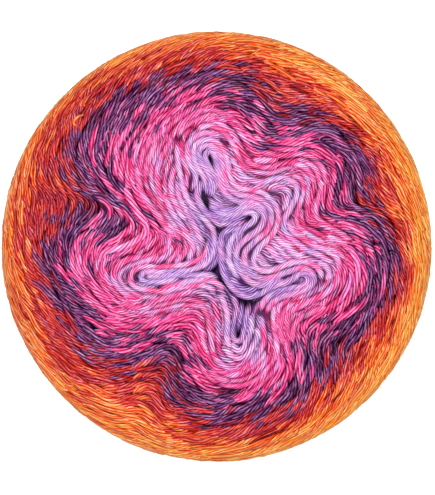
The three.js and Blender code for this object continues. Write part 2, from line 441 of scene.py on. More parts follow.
def longest_free(free, middle):
    """The first and last step of the free stretch around the middle."""
    before = np.flatnonzero(~free[:middle])
    after = np.flatnonzero(~free[middle:])
    first = before[-1] + 1 if len(before) else 0
    last = middle + after[0] - 1 if len(after) else len(free) - 1
    return first, last


def accept(rng, field, raster, style, limits, spots):
    """Lays as many of the strands through the spots as find room."""
    free = field.is_free(look_up(POINTS, *spots), raster)
    inside = (spots[0] > limits[0] + 0.002) & (spots[0] < limits[1] - 0.002)
    chosen = rng.permutation(np.flatnonzero(free & inside))[:MOST_AT_ONCE]
    if not len(chosen):
        return []
    lap, station = spots[0][chosen], spots[1][chosen]
    slant = np.radians(style["slants"](rng, lap))
    length = style["lengths"](rng, lap)
    steps = int(length.max() / STEP) + TUCK_STEPS
    paths = trace(lap, station, slant, steps, limits)
    laid = []
    for index, path in enumerate(paths):
        seed = look_up(POINTS, path[steps : steps + 1, 0], path[steps : steps + 1, 1])
        if not field.is_free(seed, raster)[0]:
            continue
        share = rng.uniform(0.2, 0.8)
        low = max(steps - int(length[index] / STEP * share), 0)
        high = min(steps + int(length[index] / STEP * (1 - share)), 2 * steps)
        window = path[low : high + 1]
        points = look_up(POINTS, window[:, 0], window[:, 1])
        inside = (window[:, 0] > limits[0] + 1e-4) & (window[:, 0] < limits[1] - 1e-4)
        first, last = longest_free(field.is_free(points, raster) & inside, steps - low)
        if (last - first) * STEP < style["shortest"]:
            continue
        uneven = rng.uniform(1 - UNEVEN, 1 + UNEVEN)
        thickness = strand_thickness(lap[index]) * uneven * style["scale"]
        field.cover(points[first + OPEN_STEPS : last + 1 - OPEN_STEPS], thickness)
        start = max(low + first - TUCK_STEPS, 0)
        end = min(low + last + TUCK_STEPS, 2 * steps)
        laid.append({
            "path": path[start : end + 1],
            "thickness": thickness,
            "lift": style["lift"] + rng.uniform(-UNEVEN_LIFT, UNEVEN_LIFT),
            "tuck": style["tuck"],
            "aside": SIDESTEP,
            "section": strand_section(path[steps, 0], style),
        })
    return laid


def strand_section(lap, style):
    """Strands are twisted tighter at the core, and hardly at the rim."""
    if style["section"] != FINE_SECTION:
        return style["section"]
    if lap < CORE_END:
        return CORE_SECTION
    return RIM_SECTION if lap > RIM_START else FINE_SECTION


def placed_strand(field, row):
    """A strand of the core, laid along its own points."""
    curve = open_curve(row["points"], CURVE_STEPS)
    run = np.concatenate([[0], np.cumsum(np.linalg.norm(np.diff(curve, axis=0), axis=1))])
    stops = np.linspace(0, run[-1], int(run[-1] / STEP) + 1)
    flat = np.column_stack([np.interp(stops, run, curve[:, 0]), np.interp(stops, run, curve[:, 1])])
    near = POINTS[: grid_row(CORE_END), :, :2].reshape(-1, 2)
    index = np.array([np.argmin(np.sum((near - point) ** 2, axis=1)) for point in flat])
    path = np.column_stack([
        LAP_RANGE[0] + index // POINTS.shape[1] * LAP_STEP,
        index % POINTS.shape[1] / FINE_STEPS,
    ])
    points = np.column_stack([flat, np.full(len(flat), HEIGHT - CORE_SINK)])
    field.cover(points, CORE_STRAND_THICKNESS)
    return {
        "path": path,
        "points": points,
        "shade": row["shade"],
        "thickness": CORE_STRAND_THICKNESS,
        "lift": row["lift"],
        "tuck": CORE_TUCK,
        "aside": 0,
        "section": CORE_SECTION,
    }


def curl_strand():
    """A loose curl of one thread, lying on the strands."""
    curve = open_curve(CURL["points"], CURL_STEPS)
    on_top = POINTS[grid_row(CORE_END) : grid_row(1)].reshape(-1, 3)
    height = [on_top[np.argmin(np.sum((on_top[:, :2] - spot) ** 2, axis=1)), 2] for spot in curve]
    return {
        "path": np.tile((CORE_END, 0.0), (len(curve), 1)),
        "points": np.column_stack([curve, height]),
        "shade": CURL["shade"] - CORE_END,
        "thickness": CURL["thickness"],
        "lift": CURL["lift"],
        "tuck": CURL["tuck"],
        "aside": 0,
        "section": CURL_SECTION,
    }


def lay_strands(rng, field, laps, limits, style, filler, first):
    """Covers a part of the surface: strands start beside those already there, then the gaps are filled."""
    strands = list(first)
    newest = first
    for _ in range(GENERATIONS):
        sown = not newest
        spots = seeds(rng, SEEDS, laps) if sown else beside(newest)
        newest = accept(rng, field, field.taken, style, limits, spots)
        if sown and not newest:
            break
        strands += newest
    for _ in range(FILLER_ROUNDS):
        strands += accept(rng, field, field.filled, filler, limits, seeds(rng, FILLER_SEEDS, laps))
    return strands


# How far strands slant from their layer, in degrees: a share of those on the top cross their neighbours
SLANT_LAPS = (0.25, 0.5, 0.8, 0.9)
SLANT_SPREADS = (2.0, 3.5, 3.5, 2.0)
CROSSING_SHARE = 0.16
CROSSING_SLANTS = (-8, 7)
SIDE_SLANT = 12
SIDE_SPREAD = 2

# The lengths of the strands that show, in millimetres, and how much longer they are at the core and the rim
TOP_LENGTHS = (11, 30)
SIDE_LENGTHS = (30, 60)
FILLER_LENGTHS = (6, 20)
CORE_LONGER = dict(most=1.6, start=0.5, fade=0.35)
RIM_LONGER = dict(most=1.2, start=0.82, fade=0.06)


def top_slants(rng, lap):
    crossing = (rng.uniform(size=len(lap)) < CROSSING_SHARE) & (lap < RIM_START)
    spread = np.interp(lap, SLANT_LAPS, SLANT_SPREADS)
    turn = np.where(crossing, rng.choice(CROSSING_SLANTS, len(lap)), 0)
    return turn + rng.normal(0, 1, len(lap)) * spread


def top_lengths(rng, lap):
    share = np.minimum(lap, 3 - lap)
    core = np.clip((CORE_LONGER["start"] - share) / CORE_LONGER["fade"], 0, 1)
    rim = np.clip((share - RIM_LONGER["start"]) / RIM_LONGER["fade"], 0, 1)
    longer = 1 + CORE_LONGER["most"] * core + RIM_LONGER["most"] * rim
    return rng.uniform(*TOP_LENGTHS, len(lap)) * longer


def side_slants(rng, lap):
    return SIDE_SLANT + rng.normal(0, SIDE_SPREAD, len(lap))


def side_lengths(rng, lap):
    return rng.uniform(*SIDE_LENGTHS, len(lap))


def filler_lengths(rng, lap):
    return rng.uniform(*FILLER_LENGTHS, len(lap))


# How many threads a strand has and the radii of each one's groove and crest, as shares of half the
# thickness. The pitch of the twist is in millimetres, and a stride of 2 skips every other step.
CORE_END = 0.42
RIM_START = 0.83
CORE_SECTION = dict(threads=8, radii=(0.74, 1.03), pitch=9.5, stride=1)
FINE_SECTION = dict(threads=6, radii=(0.76, 1.03), pitch=13.0, stride=1)
RIM_SECTION = dict(threads=6, radii=(0.76, 1.02), pitch=24.0, stride=1)
SIDE_SECTION = dict(threads=4, radii=(0.66, 1.02), pitch=20.0, stride=2)
BASE_SECTION = dict(SIDE_SECTION, stride=3)
CURL_SECTION = dict(SIDE_SECTION, pitch=6.0, stride=1)
PITCH_THICKNESS = 1.7

TOP_STYLE = dict(
    slants=top_slants, lengths=top_lengths, shortest=6, scale=1, lift=0, tuck=1.4, section=FINE_SECTION
)
TOP_FILLER = dict(TOP_STYLE, lengths=filler_lengths, shortest=3.5, scale=0.95, lift=-0.35, tuck=0.9)
SIDE_STYLE = dict(TOP_STYLE, slants=side_slants, lengths=side_lengths, shortest=9, section=SIDE_SECTION)
SIDE_FILLER = dict(TOP_FILLER, slants=side_slants, section=SIDE_SECTION)
BASE_STYLE = dict(TOP_STYLE, lengths=side_lengths, section=BASE_SECTION)
BASE_FILLER = dict(TOP_FILLER, section=BASE_SECTION)
UNDER_STYLE = dict(TOP_STYLE, lift=-0.95, section=SIDE_SECTION)
UNDER_FILLER = dict(TOP_FILLER, lift=-1.1, section=SIDE_SECTION)


# Colours of the yarn from the core to the rim, as they look in full light.
# A thread's shade says which layer its dye belongs to.

PALETTE = (
    dict(name="lilac", shade=0.00, color=(184, 144, 204)),
    dict(name="pale lilac", shade=0.12, color=(210, 162, 210)),
    dict(name="pale pink", shade=0.27, color=(228, 154, 206)),
    dict(name="hot pink", shade=0.34, color=(228, 106, 170)),
    dict(name="deep pink", shade=0.51, color=(224, 88, 150)),
    dict(name="plum", shade=0.55, color=(122, 64, 122)),
    dict(name="plum end", shade=0.67, color=(118, 54, 102)),
    dict(name="red", shade=0.72, color=(184, 46, 60)),
    dict(name="bright red", shade=0.82, color=(206, 66, 56)),
    dict(name="orange", shade=0.87, color=(230, 118, 60)),
    dict(name="light orange", shade=0.94, color=(238, 138, 64)),
    dict(name="golden", shade=1.00, color=(244, 168, 74)),
)

# How far the threads of a strand are apart in shade, for each number of threads
THREAD_SHIFTS = {4: (-0.09, -0.03, 0.03, 0.09), 6: (-0.08, 0.0, 0.08), 8: (-0.08, -0.03, 0.03, 0.08)}
STRAND_SHIFT = 0.035
SPREAD_SHARES = (0.1, 0.3, 0.4, 0.5, 0.7, 0.85)
SPREADS = (0.5, 1.1, 1.3, 0.9, 0.75, 0.6)

# Along a strand the shade comes and goes near the core, and towards the east of the rim it is shifted on
# towards golden
DYE_SECTION = 0.08
DYE_SECTION_RUNS = (1.5, 3.5)
DYE_SECTION_SHARES = (0.0, 0.15, 0.3, 0.4)
DYE_SECTION_STRENGTHS = (0.4, 1.0, 1.0, 0.0)
EAST_GOLDEN_SHIFT = dict(most=0.05, turn=0.2, start=0.75, fade=0.12)
SIDE_SHARE = 0.96
LIGHT_LEVEL = 1.8


def dye(color):
    """The linear colour of a dye."""
    return (*[((value / 255 + 0.055) / 1.055) ** 2.4 for value in color], 1)


def thread_shades(rng, strand, path, run, threads):
    """The shade of each of a strand's threads, along the strand."""
    lap = path[:, 0]
    share = np.clip(np.where(lap < 1.5, lap, 3 - lap), 0, SIDE_SHARE) + strand.get("shade", 0)
    place = look_up(POINTS, lap, path[:, 1])
    turn = np.arctan2(place[:, 1], place[:, 0])
    ahead = EAST_GOLDEN_SHIFT["most"] * np.cos(turn + EAST_GOLDEN_SHIFT["turn"])
    ahead = ahead * np.clip((share - EAST_GOLDEN_SHIFT["start"]) / EAST_GOLDEN_SHIFT["fade"], 0, 1)
    sections = DYE_SECTION * np.sin(run / rng.uniform(*DYE_SECTION_RUNS) + rng.uniform(*WAVE_STARTS))
    sections = sections * np.interp(share, DYE_SECTION_SHARES, DYE_SECTION_STRENGTHS)
    spread = np.interp(share, SPREAD_SHARES, SPREADS)
    shifts = rng.permutation(THREAD_SHIFTS[threads])
    shifts = np.repeat(shifts, threads // len(shifts))[None, :] + rng.normal(0, STRAND_SHIFT)
    return (share + ahead + sections)[:, None] + shifts * spread[:, None]


# Strand meshes

# At each end a strand dips under its neighbours over this length, and steps aside by a share of its width
TUCK_LENGTH = 4.0
TUCK_SHARE = 1 / 2.2
SIDESTEP = 0.75
RISE = 0.1
FLOOR_GAP = 0.02

# Towards the core the strands lie level
UPWARD = np.array([0.0, 0.0, 1.0])
LEVEL_LAP = 0.4
LEVEL_FADE = 0.05
EVENING = 2

# The section of a strand is wider than it is high, and smaller at its tips
SQUASH = 0.86
WIDEN = 1.2
TIP_SIZE = 0.3
TIP_LENGTH = 2

# The twist runs unevenly along a strand, and its threads swell and shrink, all in waves of some millimetres
PITCH_UNEVEN = (0.9, 1.15)
TWIST_UNEVEN = 0.7
TWIST_WAVES = (2, 5)
SWELL = 0.09
SWELL_WAVES = (2.5, 5)
WAVE_STARTS = (0, 6.3)

# How deep a place must lie to be darkened as painted shade, in millimetres, from the core outwards
DEEP_START = 0.25
DEEP_LAPS = (0.3, 0.5)
DEEP_REACHES = (0.82, 1.0)
# Each thread's groove and crest: grooves get painted shade, crests get painted highlight
CREST = (0.0, 1.0)
STRAND_TONE = 0.7
THREAD_TONE = 0.8
RUN_STARTS = (0, 500)
MAP_LENGTH = 10
STRAND_MAP = "strand"


def smooth_path(points, passes):
    for _ in range(passes):
        inner = (points[:-2] + 2 * points[1:-1] + points[2:]) / 4
        points = np.vstack([points[:1], inner, points[-1:]])
    return points


def strand_course(strand, path):
    """The points of a strand on the surface, and the outward direction at each."""
    points = strand.get("points")
    if points is not None:
        return points, np.tile(UPWARD, (len(points), 1))
    points = smooth_path(look_up(POINTS, path[:, 0], path[:, 1]), EVENING)
    normals = look_up(NORMALS, path[:, 0], path[:, 1])
    level = np.clip((LEVEL_LAP - path[:, :1]) / LEVEL_FADE, 0, 1)
    return points, unit(smooth_path(normals * (1 - level) + UPWARD * level, EVENING))


def strand_line(strand, run, points, normals):
    """The line that the threads twist round, what is up and sideways there, and its height."""
    total = run[-1]
    from_end = np.minimum(run, total - run)
    tucked = 1 - np.clip(from_end / min(TUCK_LENGTH, total * TUCK_SHARE), 0, 1)
    tucked = tucked * tucked * (3 - 2 * tucked)
    height = strand["lift"] - strand["tuck"] * tucked - strand["thickness"] / 2 * SQUASH
    side = np.cross(normals, unit(np.gradient(points, axis=0)))
    step_aside = np.where(run < total / 2, -1, 1) * tucked * strand["thickness"] * strand["aside"]
    centre = points + normals * (height + RISE)[:, None] + side * step_aside[:, None]
    tangent = unit(np.gradient(centre, axis=0))
    normal = unit(normals - np.sum(normals * tangent, axis=1)[:, None] * tangent)
    return centre, normal, np.cross(normal, tangent), height


def strand_outline(rng, section, thickness, run):
    """How far across and how far up each point of a strand's rings lies."""
    threads = section["threads"]
    count = threads * len(section["radii"])
    pitch = section["pitch"] * thickness / PITCH_THICKNESS * rng.uniform(*PITCH_UNEVEN)
    twist = rng.uniform(0, 2 * math.pi) - 2 * math.pi * run / pitch
    twist = twist + TWIST_UNEVEN * np.sin(run / rng.uniform(*TWIST_WAVES) + rng.uniform(*WAVE_STARTS))
    angle = twist[:, None] + 2 * math.pi * np.arange(count)[None, :] / count
    waves = run[:, None] / rng.uniform(*SWELL_WAVES) + rng.uniform(*WAVE_STARTS, threads)[None, :]
    swell = np.repeat(1 + SWELL * np.sin(waves), len(section["radii"]), axis=1)
    from_end = np.minimum(run, run[-1] - run)
    taper = TIP_SIZE + (1 - TIP_SIZE) * np.sqrt(np.clip(from_end / TIP_LENGTH, 0, 1))
    size = thickness / 2 * (np.tile(section["radii"], threads)[None, :] * swell) * taper[:, None]
    return size * np.cos(angle) * WIDEN, size * np.sin(angle) * SQUASH


def strand_arrays(rng, strand):
    """Vertices and colour values of one strand: threads twisted together."""
    section = strand["section"]
    threads = section["threads"]
    per_thread = len(section["radii"])
    path = strand["path"][:: section["stride"]]
    points, normals = strand_course(strand, path)
    run = np.concatenate([[0], np.cumsum(np.linalg.norm(np.diff(points, axis=0), axis=1))])
    centre, normal, side, height = strand_line(strand, run, points, normals)
    across, up = strand_outline(rng, section, strand["thickness"], run)
    vertices = centre[:, None] + across[:, :, None] * side[:, None] + up[:, :, None] * normal[:, None]
    vertices[:, :, 2] = np.maximum(vertices[:, :, 2], FLOOR_GAP)
    # Painted shade: the deeper a place lies below the strand's top, the darker it is
    depth = -(height[:, None] + up) - DEEP_START
    reach = np.interp(path[:, 0], DEEP_LAPS, DEEP_REACHES)
    tone = rng.normal(0, STRAND_TONE)
    start = rng.uniform(*RUN_STARTS)
    shades = thread_shades(rng, strand, path, run, threads)
    tones = rng.normal(tone, THREAD_TONE, threads)
    every_ring = np.ones_like(run)[:, None]
    return {
        "vertices": vertices,
        "tips": np.stack([vertices[0].mean(axis=0), vertices[-1].mean(axis=0)]),
        "run": run + start,
        "values": {
            "shade": np.repeat(shades, per_thread, axis=1),
            # Painted shade for deep places; the crest value gives painted shade in grooves and painted
            # highlight on crests
            "deep": np.clip(depth / reach[:, None], 0, 1),
            "crest": np.tile(CREST, threads) * every_ring,
            "tone": np.repeat(tones, per_thread) * every_ring,
        },
    }


def strand_faces(rings, sides, base):
    """The corners of a strand's quads, and of the triangles that close its tips."""
    grid = base + np.arange(rings)[:, None] * sides + np.arange(sides)
    here, ahead = grid[:-1], grid[1:]
    quads = np.stack([here, np.roll(here, -1, axis=1), np.roll(ahead, -1, axis=1), ahead], axis=-1)
    tip = base + rings * sides
    first = np.stack([np.full(sides, tip), np.roll(grid[0], -1), grid[0]], axis=-1)
    last = np.stack([np.full(sides, tip + 1), grid[-1], np.roll(grid[-1], -1)], axis=-1)
    return quads.reshape(-1, 4), np.concatenate([first, last])


def strand_map(run, sides):
    """The strand's own UV map: its length runs one way and its girth the other."""
    along = run / MAP_LENGTH
    around = np.arange(sides) / sides
    u = np.stack([along[:-1], along[:-1], along[1:], along[1:]], axis=-1)
    v = np.stack([around, around + 1 / sides, around + 1 / sides, around], axis=-1)
    shape = (len(run) - 1, sides, 4)
    quads = np.stack([np.broadcast_to(u[:, None], shape), np.broadcast_to(v[None], shape)], axis=-1)
    tips = [np.column_stack([np.full(3 * sides, end), np.repeat(around, 3)]) for end in along[[0, -1]]]
    return np.concatenate([quads.reshape(-1, 2), *tips])


def fill_mesh(mesh, points, corners, totals):
    mesh.vertices.add(len(points))
    mesh.vertices.foreach_set("co", (points * MM).astype(np.float32).ravel())
    mesh.loops.add(len(corners))
    mesh.loops.foreach_set("vertex_index", corners.astype(np.int32))
    mesh.polygons.add(len(totals))
    mesh.polygons.foreach_set("loop_start", (np.cumsum(totals) - totals).astype(np.int32))
    mesh.polygons.foreach_set("loop_total", totals.astype(np.int32))
    mesh.update(calc_edges=True)
    mesh.shade_smooth()


def strand_mesh(name, parts):
    """Joins the arrays of many strands into one mesh object."""
    points, corners, totals, uv = [], [], [], []
    values = {key: [] for key in parts[0]["values"]}
    base = 0
    for part in parts:
        rings, sides = part["vertices"].shape[:2]
        quads, triangles = strand_faces(rings, sides, base)
        corners += [quads.ravel(), triangles.ravel()]
        totals += [np.full(len(quads), 4), np.full(len(triangles), 3)]
        uv.append(strand_map(part["run"], sides))
        points += [part["vertices"].reshape(-1, 3), part["tips"]]
        for key, store in values.items():
            value = part["values"][key]
            store += [value.ravel(), [value[0].mean(), value[-1].mean()]]
        base += rings * sides + 2

    mesh = bpy.data.meshes.new(name)
    fill_mesh(mesh, *(np.concatenate(arrays) for arrays in (points, corners, totals)))
    layer = mesh.uv_layers.new(name=STRAND_MAP)
    layer.data.foreach_set("uv", np.concatenate(uv).astype(np.float32).ravel())
    for key, store in values.items():
        layer = mesh.attributes.new(key, "FLOAT", "POINT")
        layer.data.foreach_set("value", np.concatenate(store).astype(np.float32))
    return link_piece(name, mesh)


def link_piece(name, mesh):
    piece = bpy.data.objects.new(name, mesh)
    bpy.context.scene.collection.objects.link(piece)
    return piece


# Inner body

BODY_SINK = 0.95
BODY_STATIONS = 144
BODY_LAPS = 90
FACE_LAPS = (0.01, 2.99)
SAME_PLACE = 1e-6


def inner_body():
    """The body under the strands, painted dark as shade: a grid wrapped round the cake and closed inside
    the slit.
    """
    shape = bmesh.new()
    bmesh.ops.create_grid(shape, x_segments=BODY_STATIONS, y_segments=BODY_LAPS, size=1)
    shape.verts.ensure_lookup_table()
    grid = np.array([vertex.co for vertex in shape.verts])
    station = (grid[:, 0] + 1) / 2 * STATIONS
    lap = (grid[:, 1] + 1) / 2 * (3 + 2 * WALL_LAPS) - WALL_LAPS
    on_face = np.clip(lap, *FACE_LAPS)
    points = look_up(POINTS, on_face, station) - look_up(NORMALS, on_face, station) * BODY_SINK
    wall = np.clip(np.maximum(-lap, lap - 3) / WALL_LAPS, 0, 1) * SLIT_DEPTH
    points[:, 2] += np.where(lap < 1.5, -1, 1) * wall
    shade = shape.verts.layers.float.new("shade")
    for vertex, place, value in zip(shape.verts, points * MM, np.minimum(on_face, 3 - on_face)):
        vertex.co = place
        vertex[shade] = min(value, 1)
    bmesh.ops.remove_doubles(shape, verts=shape.verts, dist=SAME_PLACE)
    open_edges = [edge for edge in shape.edges if edge.is_boundary]
    caps = bmesh.ops.holes_fill(shape, edges=open_edges, sides=0)
    bmesh.ops.triangulate(shape, faces=caps["faces"])
    bmesh.ops.recalc_face_normals(shape, faces=shape.faces)
    mesh = bpy.data.meshes.new("inner_body")
    shape.to_mesh(mesh)
    shape.free()
    mesh.shade_smooth()
    return link_piece("inner_body", mesh)


# Materials


def new_material(name):
    material = bpy.data.materials.new(name)
    material.use_nodes = True
    return material, material.node_tree.nodes, material.node_tree.links


def palette_ramp(nodes, links):
    """The dye of a shade."""
    ramp = nodes.new("ShaderNodeValToRGB")
    elements = ramp.color_ramp.elements
    elements.remove(elements[-1])
    elements[0].position = PALETTE[0]["shade"]
    elements[0].color = dye(PALETTE[0]["color"])
    for row in PALETTE[1:]:
        element = elements.new(row["shade"])
        element.color = dye(row["color"])
    links.new(attribute(nodes, "shade"), ramp.inputs["Fac"])
    return ramp.outputs["Color"]


def attribute(nodes, name):
    node = nodes.new("ShaderNodeAttribute")
    node.attribute_name = name
    return node.outputs["Fac"]


def map_range(nodes, links, value, source, target):
    node = nodes.new("ShaderNodeMapRange")
    node.inputs["From Min"].default_value, node.inputs["From Max"].default_value = source
    node.inputs["To Min"].default_value, node.inputs["To Max"].default_value = target
    links.new(value, node.inputs["Value"])
    return node.outputs["Result"]


def multiply(nodes, links, first, second):
    node = nodes.new("ShaderNodeMath")
    node.operation = "MULTIPLY"
    links.new(first, node.inputs[0])
    links.new(second, node.inputs[1])
    return node.outputs["Value"]


# How rich the dye looks: above 1 it is deeper, below 1 paler. For deep places and grooves this is painted
# shade, and for thread crests it is painted highlight. Each is read from one value to the next.
FIBRE_RICHNESS = dict(source=(0.36, 0.64), target=(1.75, 0.55))
TONE_RICHNESS = dict(source=(-2, 2), target=(1.3, 0.7))
DEEP_PAINTED_SHADE = dict(source=(0, 1), target=(1.0, 2.2))
GROOVE_SHADE_AND_CREST_HIGHLIGHT = dict(source=(0, 0.5), target=(2.8, 0.8))
DEEP_PAINTED_DARKENING = dict(source=(0, 1), target=(1 / LIGHT_LEVEL, 0.1 / LIGHT_LEVEL))
FIBRE_STRETCH = (3.0, 14.0, 1.0)
# The inner body's dye, deepened and darkened as painted shade
BODY_PAINTED_SHADE_POWER = 2.0
BODY_PAINTED_SHADE_LEVEL = 0.1


def fibre_noise(nodes, links):
    """Fine fibres that run along the threads."""
    uv = nodes.new("ShaderNodeUVMap")
    uv.uv_map = STRAND_MAP
    stretch = nodes.new("ShaderNodeMapping")
    stretch.inputs["Scale"].default_value = FIBRE_STRETCH
    links.new(uv.outputs["UV"], stretch.inputs["Vector"])
    fibres = nodes.new("ShaderNodeTexNoise")
    fibres.inputs["Scale"].default_value = 1.0
    fibres.inputs["Detail"].default_value = 4.0
    fibres.inputs["Roughness"].default_value = 0.65
    links.new(stretch.outputs["Vector"], fibres.inputs["Vector"])
    return fibres.outputs["Fac"]


def yarn_material():
    """Soft cotton: the dye of each thread, its fibres, painted shade between the threads and in deep
    places, and painted highlights on the crests.
    """
    material, nodes, links = new_material("dyed_yarn_with_painted_shade")
    shader = nodes["Principled BSDF"]
    shader.inputs["Roughness"].default_value = 0.55
    shader.inputs["Specular IOR Level"].default_value = 0.05

    fibres = fibre_noise(nodes, links)
    fibre = map_range(nodes, links, fibres, **FIBRE_RICHNESS)
    tone = map_range(nodes, links, attribute(nodes, "tone"), **TONE_RICHNESS)
    # Painted shade in deep places, and painted shade in the grooves with painted highlight on the crests
    deep = map_range(nodes, links, attribute(nodes, "deep"), **DEEP_PAINTED_SHADE)
    groove = map_range(nodes, links, attribute(nodes, "crest"), **GROOVE_SHADE_AND_CREST_HIGHLIGHT)
    surface = multiply(nodes, links, fibre, tone)
    painted_shade_and_highlight = multiply(nodes, links, deep, groove)
    power = multiply(nodes, links, surface, painted_shade_and_highlight)
    toned_and_shaded = nodes.new("ShaderNodeGamma")
    links.new(palette_ramp(nodes, links), toned_and_shaded.inputs["Color"])
    links.new(power, toned_and_shaded.inputs["Gamma"])
    # Painted shade: deep places are darkened
    light = map_range(nodes, links, attribute(nodes, "deep"), **DEEP_PAINTED_DARKENING)
    darken = nodes.new("ShaderNodeVectorMath")
    darken.operation = "SCALE"
    links.new(toned_and_shaded.outputs["Color"], darken.inputs[0])
    links.new(light, darken.inputs["Scale"])
    links.new(darken.outputs["Vector"], shader.inputs["Base Color"])

    bump = nodes.new("ShaderNodeBump")
    bump.inputs["Strength"].default_value = 0.6
    bump.inputs["Distance"].default_value = 0.0002
    links.new(fibres, bump.inputs["Height"])
    links.new(bump.outputs["Normal"], shader.inputs["Normal"])
    return material


def body_material():
    """The layers below the surface, painted dark as the shade seen between the strands."""
    material, nodes, links = new_material("inner_layers_painted_dark")
    shader = nodes["Principled BSDF"]
    shader.inputs["Roughness"].default_value = 1.0
    shader.inputs["Specular IOR Level"].default_value = 0.0
    toned_and_shaded = nodes.new("ShaderNodeGamma")
    toned_and_shaded.inputs["Gamma"].default_value = BODY_PAINTED_SHADE_POWER
    darken = nodes.new("ShaderNodeVectorMath")
    darken.operation = "SCALE"
    darken.inputs["Scale"].default_value = BODY_PAINTED_SHADE_LEVEL
    links.new(palette_ramp(nodes, links), toned_and_shaded.inputs["Color"])
    links.new(toned_and_shaded.outputs["Color"], darken.inputs[0])
    links.new(darken.outputs["Vector"], shader.inputs["Base Color"])
    return material


def floor_material():
    material, nodes, links = new_material("pale_floor")
    shader = nodes["Principled BSDF"]
    shader.inputs["Base Color"].default_value = (0.93, 0.93, 0.93, 1)
    shader.inputs["Roughness"].default_value = 0.9
    shader.inputs["Specular IOR Level"].default_value = 0.1
    return material


# Dressing the cake

